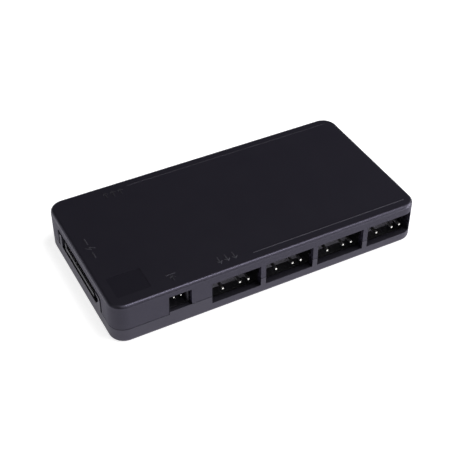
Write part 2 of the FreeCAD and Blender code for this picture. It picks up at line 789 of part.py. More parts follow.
def build_power_contacts():
    """Flat strips along the tongue, down behind the body and out to feet on the board."""
    body = new_body("power_contacts")
    sketch = new_sketch(body, "contact_outline", "XZ_Plane", "-contact_first_y")
    start = "contact_tip_inset - half_length"
    top = "tongue_top + contact_proud"
    rear = "inlet_back + contact_clearance"
    outline(sketch, [
        (start, top),
        (start, f"{top} - contact_thickness"),
        (rear, f"{top} - contact_thickness"),
        (rear, "board_top"),
        (f"{rear} + contact_foot", "board_top"),
        (f"{rear} + contact_foot", "board_top + contact_thickness"),
        (f"{rear} + contact_thickness", "board_top + contact_thickness"),
        (f"{rear} + contact_thickness", top),
    ])
    strip = pad(body, "contact", sketch, "contact_width", symmetric=True)
    repeat(body, "contacts", strip, sketch, "N_Axis", "contact_count", "contact_pitch", reverse=True)


def build_case_screws():
    """Four pan-head screws driven up from the underside, with a cross recess in each head."""
    body = new_body("case_screws")
    for kind, diameter, low, height in (
        ("head", "screw_head", "screw_head_sunk", "screw_head_height"),
        ("shank", "screw_core", "head_seat", "screw_length"),
    ):
        sketch = new_sketch(body, f"screw_{kind}_outline", "XY_Plane", low)
        for across, up in boss_places():
            circle(sketch, across, up, diameter)
        pad(body, f"screw_{kind}s", sketch, height)
    dress_edges(body, "Fillet", "screw_crowns", "screw_head_height / 2", at_level(value("screw_head_sunk")))
    for name, half_x, half_y in (
        ("drive_slot_x", "drive_span / 2", "drive_width / 2"),
        ("drive_slot_y", "drive_width / 2", "drive_span / 2"),
    ):
        sketch = new_sketch(body, f"{name}_outline", "XY_Plane", "screw_head_sunk")
        for across, up in boss_places():
            left = f"{across} - {half_x}"
            right = f"{across} + {half_x}"
            rectangle(sketch, left, f"{up} - {half_y}", right, f"{up} + {half_y}")
        pocket(body, name, sketch, "drive_depth", reverse=True)


def build_signal_buffer():
    """Eight-lead chip: moulded body with drafted sides and bent leads on both long sides."""
    body = new_body("signal_buffer")
    middle_x = "(parts_x + can_base + parts_gap + chip_length / 2)"
    bottom = "board_top + chip_standoff"
    sketch = new_sketch(body, "chip_outline", "XY_Plane", bottom)
    rectangle(sketch, f"{middle_x} - chip_length / 2", "-chip_width / 2",
              f"{middle_x} + chip_length / 2", "chip_width / 2")
    pad(body, "chip_block", sketch, "chip_height")
    dress_edges(body, "Chamfer", "chip_top_edges", "chip_draft", at_level(value(f"{bottom} + chip_height")))

    # leads leave at half height, drop and turn out to a foot
    first_lead = f"{middle_x} - (chip_side_leads - 1) / 2 * chip_lead_pitch"
    sketch = new_sketch(body, "lead_outline", "YZ_Plane", first_lead)
    exit_level = f"({bottom} + chip_height / 2)"
    knee = "(chip_width / 2 + chip_lead_reach - chip_lead_foot)"
    foot = "(chip_width / 2 + chip_lead_reach)"
    for sign in (-1, 1):
        outline(sketch, [
            (f"{sign} * (chip_width / 2 - chip_draft)", exit_level),
            (f"{sign} * {knee}", exit_level),
            (f"{sign} * {knee}", "board_top + chip_lead_thickness"),
            (f"{sign} * {foot}", "board_top + chip_lead_thickness"),
            (f"{sign} * {foot}", "board_top"),
            (f"{sign} * ({knee} - chip_lead_thickness)", "board_top"),
            (f"{sign} * ({knee} - chip_lead_thickness)", f"{exit_level} - chip_lead_thickness"),
            (f"{sign} * (chip_width / 2 - chip_draft)", f"{exit_level} - chip_lead_thickness"),
        ])
    leads = pad(body, "chip_lead", sketch, "chip_lead_width", symmetric=True)
    repeat(body, "chip_leads", leads, sketch, "N_Axis", "chip_side_leads", "chip_lead_pitch")


def build_bulk_capacitor():
    """Can capacitor: square foot with a rolled neck and a round can above it."""
    body = new_body("bulk_capacitor")
    middle_x = "(parts_x + can_base / 2)"
    middle_y = "(can_base / 2 + parts_gap / 2)"
    sketch = new_sketch(body, "can_base_outline", "XY_Plane", "board_top")
    rectangle(sketch, f"{middle_x} - can_base / 2", f"{middle_y} - can_base / 2",
              f"{middle_x} + can_base / 2", f"{middle_y} + can_base / 2")
    pad(body, "can_foot", sketch, "can_base_height")
    sketch = new_sketch(body, "can_neck_outline", "XY_Plane", "board_top + can_base_height")
    circle(sketch, middle_x, middle_y, "can_diameter - 2 * can_neck")
    pad(body, "can_neck_ring", sketch, "2 * can_neck")
    sketch = new_sketch(body, "can_outline", "XY_Plane", "board_top + can_base_height + 2 * can_neck")
    circle(sketch, middle_x, middle_y, "can_diameter")
    pad(body, "can", sketch, "can_height - can_base_height - 2 * can_neck")
    dress_edges(body, "Fillet", "can_rim", "can_edge", at_level(value("board_top + can_height")))


def chip_box(name, x, y, length, width, height):
    """Plain block of a small board part, standing on the board with its middle at x, y."""
    block = doc.addObject("Part::Box", name)
    bind(block, "Length", length)
    bind(block, "Width", width)
    bind(block, "Height", height)
    bind(block, "Placement.Base.x", f"{x} - {length} / 2")
    bind(block, "Placement.Base.y", f"{y} - {width} / 2")
    bind(block, "Placement.Base.z", "board_top")
    return block


def group(name, blocks):
    """Compound of separate solids that share one node."""
    compound = doc.addObject("Part::Compound", name)
    compound.Links = blocks
    sub_parts.append(compound)


def build_small_parts():
    """Fuse beside the capacitor, bypass capacitors beyond the chip, a resistor behind each output."""
    middle_x = "(parts_x + can_base / 2)"
    middle_y = "-(fuse_width / 2 + parts_gap / 2)"
    fuse = chip_box("resettable_fuse", middle_x, middle_y, "fuse_length", "fuse_width", "fuse_height")
    sub_parts.append(fuse)

    start = "(parts_x + can_base + 2 * parts_gap + chip_length)"
    blocks = []
    for index in range(int(value("bypass_count"))):
        across = f"({start} + {index} * bypass_pitch)"
        blocks.append(chip_box(f"bypass_{index + 1}", across, "0", "bypass_length",
                               "bypass_width", "bypass_height"))
    group("bypass_capacitors", blocks)

    blocks = []
    for row, side, first_x, count in port_rows():
        for index in range(int(value(count))):
            across = f"({first_x} + {index} * port_pitch)"
            name = f"{row}_resistor_{index + 1}"
            blocks.append(chip_box(name, across, f"({side} * resistor_y)", "resistor_width",
                                   "resistor_length", "resistor_height"))
    group("data_resistors", blocks)


def check_and_export():
    """Stop on any failed object or bad shape, then write one file for each sub-part."""
    doc.recompute()
    for item in doc.Objects:
        if "Invalid" in item.State or "Error" in item.State:
            raise RuntimeError(f"{item.Label} failed: {item.State}")
    for item in sub_parts:
        if item.Shape.isNull() or not item.Shape.isValid() or not item.Shape.Solids:
            raise RuntimeError(f"{item.Label} has no valid solid")
    os.makedirs("parts", exist_ok=True)
    for item in sub_parts:
        item.Shape.exportStep(f"parts/{item.Label}.step")
        print(f"{item.Label}: {len(item.Shape.Solids)} solid(s), {item.Shape.Volume:.2f} mm3")


fill_sheet()
build_base_shell()
build_top_cover()
build_circuit_board()
build_outputs()
build_input_socket()
build_power_inlet()
build_power_contacts()
build_case_screws()
build_signal_buffer()
build_bulk_capacitor()
build_small_parts()
check_and_export()
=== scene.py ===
"""Looks of a fan-lighting hub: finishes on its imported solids, raised signs, studio and camera.

Metres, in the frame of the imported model: +X runs along the case away from the power inlet,
-Y is the front with the input socket, and +Z is up.
"""

import logging
import math
from dataclasses import dataclass
from enum import Enum

import bmesh
import bpy
import numpy as np
from mathutils import Matrix, Vector


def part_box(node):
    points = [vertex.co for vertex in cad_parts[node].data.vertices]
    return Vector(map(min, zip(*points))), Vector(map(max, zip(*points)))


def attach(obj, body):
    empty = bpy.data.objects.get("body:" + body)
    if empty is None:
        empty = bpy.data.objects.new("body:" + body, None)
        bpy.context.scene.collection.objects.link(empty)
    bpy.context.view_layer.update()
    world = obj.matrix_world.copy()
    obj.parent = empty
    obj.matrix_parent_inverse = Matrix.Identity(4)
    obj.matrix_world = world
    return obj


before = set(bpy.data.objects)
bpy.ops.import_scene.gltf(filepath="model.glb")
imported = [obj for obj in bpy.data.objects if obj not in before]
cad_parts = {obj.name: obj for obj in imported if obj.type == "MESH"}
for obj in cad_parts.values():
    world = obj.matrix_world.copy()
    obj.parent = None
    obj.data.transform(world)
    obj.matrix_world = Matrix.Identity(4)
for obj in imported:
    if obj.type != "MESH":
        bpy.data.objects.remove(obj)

log = logging.getLogger("fan_lighting_hub")

Array = np.ndarray
Socket = bpy.types.NodeSocket
Source = Socket | float | tuple[float, ...]
Span = tuple[float, float]
Colour = tuple[float, float, float]
Place = tuple[float, float, float]

MM = 0.001
BODY = "root"

# Points of a new piece that lie closer than this are one point.
MERGE = 0.0005 * MM


class Axis(Enum):
    """Axis of the shared frame."""

    X = 0
    Y = 1
    Z = 2


class Graph:
    """Node tree of one material, with a principled shader ready to be driven."""

    noise_middle: Span = (0.3, 0.7)
    edge_samples: int = 6

    def __init__(self, name: str) -> None:
        """Start a material that holds its shader, its output and its Object coordinates.

        Args:
            name: the material's name.
        """
        self.material = bpy.data.materials.new(name)
        self.material.use_nodes = True
        self.tree = self.material.node_tree
        self.shader = self.tree.nodes["Principled BSDF"]
        self.coordinates = self.add("ShaderNodeTexCoord").outputs["Object"]

    def add(self, kind: str) -> bpy.types.Node:
        """Add a node of a kind."""
        return self.tree.nodes.new(kind)

    def feed(self, socket: Socket, source: Source) -> None:
        """Join a socket to another one, or set its own value.

        Args:
            socket: socket to be fed.
            source: another socket, or a value.
        """
        if isinstance(source, Socket):
            self.tree.links.new(source, socket)
        else:
            socket.default_value = source

    def drive(self, name: str, source: Source) -> None:
        """Feed one of the shader's own sockets."""
        self.feed(self.shader.inputs[name], source)

    def math(self, operation: str, first: Source, second: Source = 0.0) -> Socket:
        """Work out one sum of two sources.

        Args:
            operation: Blender's name of the sum.
            first: left-hand source.
            second: right-hand source, which some sums don't use.

        Returns:
            Socket that carries the result.
        """
        node = self.add("ShaderNodeMath")
        node.operation = operation
        self.feed(node.inputs[0], first)
        self.feed(node.inputs[1], second)
        return node.outputs["Value"]

    def along(self, axis: Axis) -> Socket:
        """Coordinate of the shaded point along an axis.

        Args:
            axis: axis of the shared frame.

        Returns:
            Socket that carries the coordinate in metres.
        """
        split = self.add("ShaderNodeSeparateXYZ")
        self.feed(split.inputs["Vector"], self.coordinates)
        return split.outputs[axis.value]

    def flatness(self) -> Socket:
        """How squarely the surface faces up or down.

        Returns:
            Socket that is 1 on level faces and 0 on upright walls.
        """
        split = self.add("ShaderNodeSeparateXYZ")
        self.feed(split.inputs["Vector"], self.add("ShaderNodeNewGeometry").outputs["Normal"])
        return self.math("ABSOLUTE", split.outputs["Z"])

    def noise(self, blob: float, detail: float, stretch: Place = (1.0, 1.0, 1.0)) -> Socket:
        """Cloudy noise on Object coordinates.

        Args:
            blob: size of its blobs in metres.
            detail: number of finer layers.
            stretch: how far the blobs are drawn out along each axis.

        Returns:
            Socket that carries the noise, about 0.5 on average.
        """
        mapping = self.add("ShaderNodeMapping")
        self.feed(mapping.inputs["Vector"], self.coordinates)
        self.feed(mapping.inputs["Scale"], tuple(1.0 / (blob * factor) for factor in stretch))
        texture = self.add("ShaderNodeTexNoise")
        self.feed(texture.inputs["Scale"], 1.0)
        self.feed(texture.inputs["Detail"], detail)
        self.feed(texture.inputs["Vector"], mapping.outputs["Vector"])
        return texture.outputs["Fac"]

    def ramp(self, source: Socket, span: Span, low: float, high: float, smooth: bool = False) -> Socket:
        """Carry a span of a source over to a range of values, which holds its ends beyond the span.

        Args:
            source: socket that is read.
            span: source's values at which the range starts and ends.
            low: value at the start of the span.
            high: value at its end.
            smooth: whether the ramp eases in and out.

        Returns:
            Socket that carries the value.
        """
        node = self.add("ShaderNodeMapRange")
        if smooth:
            node.interpolation_type = "SMOOTHSTEP"
        self.feed(node.inputs["Value"], source)
        ends = {"From Min": span[0], "From Max": span[1], "To Min": low, "To Max": high}
        for name, value in ends.items():
            self.feed(node.inputs[name], value)
        return node.outputs["Result"]

    def between(self, noise: Socket, low: float, high: float) -> Socket:
        """Spread the middle of a noise over a range of values."""
        return self.ramp(noise, self.noise_middle, low, high)

    def blend(self, share: Socket, first: Colour | Socket, second: Colour | Socket) -> Socket:
        """Blend two colours.

        Args:
            share: share of the second colour.
            first: colour where the share is 0.
            second: colour where the share is 1.

        Returns:
            Socket that carries the blended colour.
        """
        node = self.add("ShaderNodeMix")
        node.data_type = "RGBA"
        self.feed(node.inputs["Factor"], share)
        for name, colour in (("A", first), ("B", second)):
            socket = next(item for item in node.inputs if item.name == name and item.type == "RGBA")
            self.feed(socket, colour if isinstance(colour, Socket) else (*colour, 1.0))
        return next(item for item in node.outputs if item.type == "RGBA")

    def relief(self, height: Socket, depth: float, edge: float = 0.0) -> None:
        """Give the shader a fine relief.

        Args:
            height: socket that carries the relief's height.
            depth: depth of the relief in metres.
            edge: radius that softens the piece's edges, or 0 to leave them sharp.
        """
        bump = self.add("ShaderNodeBump")
        self.feed(bump.inputs["Distance"], depth)
        self.feed(bump.inputs["Height"], height)
        if edge > 0.0:
            soft = self.add("ShaderNodeBevel")
            soft.samples = self.edge_samples
            self.feed(soft.inputs["Radius"], edge)
            self.feed(bump.inputs["Normal"], soft.outputs["Normal"])
        self.drive("Normal", bump.outputs["Normal"])


def scaled(colour: Colour, factor: float) -> Colour:
    """Colour made darker or lighter by a factor."""
    return tuple(part * factor for part in colour)


def shades(colour: Colour, swing: float) -> tuple[Colour, Colour]:
    """Darker and lighter neighbour of a colour."""
    return scaled(colour, 1.0 - swing), scaled(colour, 1.0 + swing)


@dataclass(frozen=True)
class DullPatch:
    """Box round the part of a moulding that is less glossy than the rest, and may be darker."""

    low: Place
    high: Place
    shade: float
    gloss: float

    def mask(self, graph: Graph) -> Socket:
        """Tell the inside of the box from the outside.

        Args:
            graph: node tree that uses the patch.

        Returns:
            Socket that is 1 inside the box and 0 outside it.
        """
        inside: Source = 1.0
        for axis in Axis:
            place = graph.along(axis)
            inside = graph.math("MULTIPLY", inside, graph.math("GREATER_THAN", place, self.low[axis.value]))
            inside = graph.math("MULTIPLY", inside, graph.math("LESS_THAN", place, self.high[axis.value]))
        return inside


@dataclass(frozen=True)
class MouldedPlastic:
    """Moulded plastic with an eroded grain and a faintly cloudy colour.

    Bloom is the faint tint that the grain shows at a slant. Upright walls may be rougher than
    level faces, and the change from one to the other lies within 15 degrees of upright.
    """

    name: str
    colour: Colour
    gloss_tint: Colour
    roughness: float
    wall_roughness: float | None = None
    gloss: float = 0.5
    bloom: float = 0.0
    bloom_tint: Colour = (0.35, 0.25, 1.0)
    edge: float = 0.05 * MM
    patch: DullPatch | None = None
    swing: float = 0.12
    rough_swing: float = 0.08
    cloud: float = 9 * MM
    cloud_detail: float = 4.0
    grain: float = 0.16 * MM
    grain_detail: float = 3.0
    depth: float = 0.004 * MM
    wall_slope: Span = (0.02, 0.25)

    def mean_roughness(self, graph: Graph) -> Source:
        """Roughness without its grain.

        Args:
            graph: the plastic's node tree.

        Returns:
            One value, or a socket where the walls differ.
        """
        if self.wall_roughness is None:
            return self.roughness
        return graph.ramp(graph.flatness(), self.wall_slope, self.wall_roughness, self.roughness, smooth=True)

    def material(self) -> bpy.types.Material:
        """Build the plastic's material.

        Returns:
            The material.
        """
        graph = Graph(self.name)
        cloud = graph.between(graph.noise(self.cloud, self.cloud_detail), 0.0, 1.0)
        colour = graph.blend(cloud, *shades(self.colour, self.swing))
        gloss: Source = self.gloss
        if self.patch:
            inside = self.patch.mask(graph)
            colour = graph.blend(inside, colour, scaled(self.colour, self.patch.shade))
            loss = graph.math("MULTIPLY", inside, self.gloss * (1.0 - self.patch.gloss))
            gloss = graph.math("SUBTRACT", self.gloss, loss)
        grain = graph.noise(self.grain, self.grain_detail)
        swing = graph.between(grain, 1.0 - self.rough_swing, 1.0 + self.rough_swing)
        graph.drive("Base Color", colour)
        graph.drive("Specular IOR Level", gloss)
        graph.drive("Specular Tint", (*self.gloss_tint, 1.0))
        graph.drive("Roughness", graph.math("MULTIPLY", swing, self.mean_roughness(graph)))
        graph.drive("Sheen Weight", self.bloom)
        graph.drive("Sheen Tint", (*self.bloom_tint, 1.0))
        graph.relief(grain, self.depth, self.edge)
        return graph.material


@dataclass(frozen=True)
class PlatedMetal:
    """Drawn and plated metal with fine streaks along one axis."""

    name: str
    colour: Colour
    roughness: float
    drawn: Axis
    swing: float = 0.08
    rough_swing: float = 0.25
    cloud: float = 0.9 * MM
    streak: float = 0.05 * MM
    streak_stretch: float = 14.0
    detail: float = 3.0
    depth: float = 0.002 * MM
    edge: float = 0.04 * MM

    def material(self) -> bpy.types.Material:
        """Build the metal's material.

        Returns:
            The material.
        """
        graph = Graph(self.name)
        stretch = tuple(self.streak_stretch if axis is self.drawn else 1.0 for axis in Axis)
        streaks = graph.noise(self.streak, self.detail, stretch)
        cloud = graph.between(graph.noise(self.cloud, self.detail), 0.0, 1.0)
        swing = graph.between(streaks, self.roughness * (1.0 - self.rough_swing),
                              self.roughness * (1.0 + self.rough_swing))
        graph.drive("Base Color", graph.blend(cloud, *shades(self.colour, self.swing)))
        graph.drive("Roughness", swing)
        graph.drive("Metallic", 1.0)
        graph.relief(streaks, self.depth, self.edge)
        return graph.material


@dataclass(frozen=True)
class SolderMask:
    """Black solder mask over raised copper tracks, with bare glass fibre on the board's edges."""

    name: str
    colour: Colour
    track_colour: Colour
    fibre_colour: Colour
    track_pitch: float = 1.27 * MM
    track_share: float = 0.32
    track_height: float = 0.035 * MM
    field: float = 7 * MM
    field_detail: float = 0.0
    field_stretch: Place = (1.0, 2.5, 1.0)
    field_level: float = 0.52
    edge_flatness: float = 0.5
    weave: float = 0.25 * MM
    weave_detail: float = 2.0
    weave_stretch: Place = (6.0, 6.0, 0.6)
    weave_swing: float = 0.35
    cloud: float = 0.6 * MM
    cloud_detail: float = 3.0
    roughness: Span = (0.34, 0.5)

    def material(self) -> bpy.types.Material:
        """Build the board's material: tracks run along Y where a slow noise says so.

        Returns:
            The material.
        """
        graph = Graph(self.name)
        step = graph.math("FRACT", graph.math("DIVIDE", graph.along(Axis.X), self.track_pitch))
        in_track = graph.math("LESS_THAN", step, self.track_share)
        fields = graph.noise(self.field, self.field_detail, self.field_stretch)
        in_field = graph.math("GREATER_THAN", fields, self.field_level)
        track = graph.math("MULTIPLY", in_track, in_field)
        face = graph.blend(track, self.colour, self.track_colour)
        on_edge = graph.math("LESS_THAN", graph.flatness(), self.edge_flatness)
        weave = graph.between(graph.noise(self.weave, self.weave_detail, self.weave_stretch), 0.0, 1.0)
        fibre = graph.blend(weave, *shades(self.fibre_colour, self.weave_swing))
        graph.drive("Base Color", graph.blend(on_edge, face, fibre))
        graph.drive("Roughness", graph.between(graph.noise(self.cloud, self.cloud_detail), *self.roughness))
        graph.relief(track, self.track_height)
        return graph.material


@dataclass(frozen=True)
class CappedChip:
    """Small board part whose body colour gives way to tinned caps at both ends of one axis."""

    name: str
    colour: Colour
    cap_colour: Colour
    axis: Axis
    middle: float
    pitch: float
    body_half: float
    mirrored: bool = False
    swing: float = 0.2
    cap_swing: float = 0.08
    cloud: float = 0.2 * MM
    grain: float = 0.08 * MM
    detail: float = 3.0
    depth: float = 0.006 * MM
    edge: float = 0.08 * MM
    roughness: Span = (0.3, 0.5)

    def material(self) -> bpy.types.Material:
        """Build the part's material: its ends are found by distance from the nearest middle of its row.

        Returns:
            The material.
        """
        graph = Graph(self.name)
        place = graph.along(self.axis)
        if self.mirrored:
            place = graph.math("ABSOLUTE", place)
        steps = graph.math("DIVIDE", graph.math("SUBTRACT", place, self.middle), self.pitch)
        nearest = graph.math("SUBTRACT", steps, graph.math("ROUND", steps))
        off = graph.math("MULTIPLY", graph.math("ABSOLUTE", nearest), self.pitch)
        cap = graph.math("GREATER_THAN", off, self.body_half)
        cloud = graph.between(graph.noise(self.cloud, self.detail), 0.0, 1.0)
        body = graph.blend(cloud, *shades(self.colour, self.swing))
        tin = graph.blend(cloud, *shades(self.cap_colour, self.cap_swing))
        graph.drive("Base Color", graph.blend(cap, body, tin))
        graph.drive("Metallic", cap)
        graph.drive("Roughness", graph.between(cloud, *self.roughness))
        graph.relief(graph.noise(self.grain, self.detail), self.depth, self.edge)
        return graph.material


@dataclass(frozen=True)
class LeadedChip:
    """Moulded epoxy chip whose bent leads are tinned."""

    name: str
    colour: Colour
    lead_colour: Colour
    body_half: float
    swing: float = 0.3
    lead_swing: float = 0.08
    cloud: float = 0.12 * MM
    cloud_detail: float = 4.0
    grain: float = 0.06 * MM
    grain_detail: float = 3.0
    depth: float = 0.006 * MM
    edge: float = 0.06 * MM
    roughness: Span = (0.42, 0.62)

    def material(self) -> bpy.types.Material:
        """Build the chip's material: what stands out past its body across Y is a lead.

        Returns:
            The material.
        """
        graph = Graph(self.name)
        lead = graph.math("GREATER_THAN", graph.math("ABSOLUTE", graph.along(Axis.Y)), self.body_half)
        cloud = graph.between(graph.noise(self.cloud, self.cloud_detail), 0.0, 1.0)
        body = graph.blend(cloud, *shades(self.colour, self.swing))
        tin = graph.blend(cloud, *shades(self.lead_colour, self.lead_swing))
        graph.drive("Base Color", graph.blend(lead, body, tin))
        graph.drive("Metallic", lead)
        graph.drive("Roughness", graph.between(cloud, *self.roughness))
        graph.relief(graph.noise(self.grain, self.grain_detail), self.depth, self.edge)
        return graph.material


@dataclass(frozen=True)
class CanFinish:
    """Drawn aluminium can on a black foot, with a dark sector on its top for the negative side."""

    name: str
    colour: Colour
    foot_colour: Colour
    foot_top: float
    can_top: float
    sector_edge: float
    crown: float = 0.02 * MM
    swing: float = 0.06
    foot_swing: float = 0.25
    streak: float = 0.12 * MM
    streak_stretch: Place = (1.0, 1.0, 9.0)
    detail: float = 3.0
    depth: float = 0.003 * MM
    edge: float = 0.06 * MM
    roughness: Span = (0.28, 0.42)

    def material(self) -> bpy.types.Material:
        """Build the can's material: foot and sector are told by height and by place along X.

        Returns:
            The material.
        """
        graph = Graph(self.name)
        height = graph.along(Axis.Z)
        foot = graph.math("LESS_THAN", height, self.foot_top)
        crown = graph.math("GREATER_THAN", height, self.can_top - self.crown)
        side = graph.math("LESS_THAN", graph.along(Axis.X), self.sector_edge)
        dark = graph.math("MAXIMUM", foot, graph.math("MULTIPLY", crown, side))
        streaks = graph.between(graph.noise(self.streak, self.detail, self.streak_stretch), 0.0, 1.0)
        metal = graph.blend(streaks, *shades(self.colour, self.swing))
        plastic = graph.blend(streaks, *shades(self.foot_colour, self.foot_swing))
        graph.drive("Base Color", graph.blend(dark, metal, plastic))
        graph.drive("Metallic", graph.math("SUBTRACT", 1.0, dark))
        graph.drive("Roughness", graph.between(streaks, *self.roughness))
        graph.relief(streaks, self.depth, self.edge)
        return graph.material


def dress(names: list[str], finish: bpy.types.Material) -> None:
    """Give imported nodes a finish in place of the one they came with.

    Args:
        names: the nodes' names.
        finish: their new material.
    """
    for name in names:
        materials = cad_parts[name].data.materials
        materials.clear()
        materials.append(finish)
        log.info("%s dressed in %s", name, finish.name)


def piece(name: str, points: Array, quads: Array, slot: str, finish: bpy.types.Material) -> None:
    """Make one closed piece from its points and quads, which rides on the part.

    Args:
        name: the piece's name.
        points: array of points, one row each, in metres.
        quads: array of point numbers, one quad a row.
        slot: material slot of the record that the piece belongs to; not used.
        finish: the piece's material.
    """
    mesh = bpy.data.meshes.new(name)
    mesh.from_pydata(points.tolist(), [], quads.tolist())
    work = bmesh.new()
    work.from_mesh(mesh)
    bmesh.ops.remove_doubles(work, verts=work.verts, dist=MERGE)
    bmesh.ops.dissolve_degenerate(work, edges=work.edges, dist=MERGE)
    bmesh.ops.recalc_face_normals(work, faces=work.faces)
    work.to_mesh(mesh)
    work.free()
    mesh.polygons.foreach_set("use_smooth", np.ones(len(mesh.polygons), bool))
    mesh.materials.append(finish)
    made = bpy.data.objects.new(name, mesh)
    bpy.context.scene.collection.objects.link(made)
    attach(made, BODY)
    log.info("%s made, %d faces", name, len(mesh.polygons))


def grid_quads(rows: int, columns: int, start: int) -> Array:
    """Quads between neighbouring rows of a grid whose columns close into a ring.

    Args:
        rows: number of rows.
        columns: number of points in each row.
        start: number of the grid's first point.

    Returns:
        Array of point numbers, one quad a row.
    """
    row = np.arange(rows - 1)[:, None]
    column = np.arange(columns)[None, :]
    onward = (column + 1) % columns
    corners = [row * columns + column, row * columns + onward,
               (row + 1) * columns + onward, (row + 1) * columns + column]
    return start + np.stack(np.broadcast_arrays(*corners), axis=-1).reshape(-1, 4)


# Section of a raised stroke: half widths across, and heights up, where below 0 is its sunk foot.
RIDGE_ACROSS = np.array([-1.0, -0.86, -0.6, 0.0, 0.6, 0.86, 1.0, 1.0, -1.0])
RIDGE_UP = np.array([0.35, 0.8, 1.0, 1.0, 1.0, 0.8, 0.35, -1.0, -1.0])


@dataclass(frozen=True)
class Stroke:
    """One raised stroke: a low ridge that follows a flat path and ends in half-rounds."""

    path: Array
    width: float
    height: float
    sunk: float = 0.05 * MM
    step: float = 0.06 * MM
    step_limits: tuple[int, int] = (4, 90)
    end_steps: int = 6

    def surface(self, level: float) -> Array:
        """Carry the stroke's section along its path.

        Point (i, j) is path point i, moved sideways along the path's left-hand normal by half the
        width times across_j, and raised above the level by the height times up_j, or sunk below it
        by the foot's depth where up_j is negative. Within half a width of each end the sideways
        move shrinks as sqrt(1 - d * d), where d is the way past the start of that end zone over
        half a width.

        Args:
            level: height of the surface that the stroke stands on.

        Returns:
            Array of points with one row of section points for each path point.
        """
        lift = np.where(RIDGE_UP > 0.0, RIDGE_UP * self.height, -self.sunk)

        runs = np.linalg.norm(np.diff(self.path, axis=0), axis=1)
        marks = np.concatenate([[0.0], np.cumsum(runs)])
        length = marks[-1]
        half = self.width / 2.0
        ends = half * np.sin(np.linspace(0.0, np.pi / 2.0, self.end_steps))
        middle_count = int(np.clip(length / self.step, *self.step_limits))
        way = np.concatenate([half - ends[::-1], np.linspace(half, length - half, middle_count)[1:-1],
                              length - half + ends])
        points = np.stack([np.interp(way, marks, self.path[:, k]) for k in (0, 1)], axis=1)
        heading = np.gradient(points, way, axis=0)
        heading /= np.linalg.norm(heading, axis=1, keepdims=True)
        left = np.stack([-heading[:, 1], heading[:, 0]], axis=1)

        past = np.clip(np.maximum(half - way, way - (length - half)) / half, 0.0, 1.0)
        shrink = np.sqrt(1.0 - past ** 2)
        flat = points[:, None, :] + left[:, None, :] * (half * shrink[:, None] * RIDGE_ACROSS)[..., None]
        rise = np.broadcast_to(level + lift, flat.shape[:2])
        return np.concatenate([flat, rise[..., None]], axis=2)


class Sign(Enum):
    """Plain sign moulded on the roof, as strokes in millimetres, reading along +X with +Y up."""

    POWER = (
        ((0.45, 1.3), (-0.5, -0.12), (0.5, 0.12), (-0.45, -1.3)),
        ((-4.2, 0.0), (-1.6, 0.0)),
        ((1.6, 0.0), (4.2, 0.0)),
    )
    INPUT = (
        ((0.0, -1.25), (0.0, 0.62)),
        ((-0.85, -0.2), (0.0, 0.68), (0.85, -0.2)),
        ((-1.4, 1.25), (1.4, 1.25)),
    )
    OUTPUT = (
        ((-2.2, 1.25), (-2.2, -1.1)),
        ((-2.95, -0.35), (-2.2, -1.15), (-1.45, -0.35)),
        ((0.0, 1.25), (0.0, -1.1)),
        ((-0.75, -0.35), (0.0, -1.15), (0.75, -0.35)),
        ((2.2, 1.25), (2.2, -1.1)),
        ((1.45, -0.35), (2.2, -1.15), (2.95, -0.35)),
    )


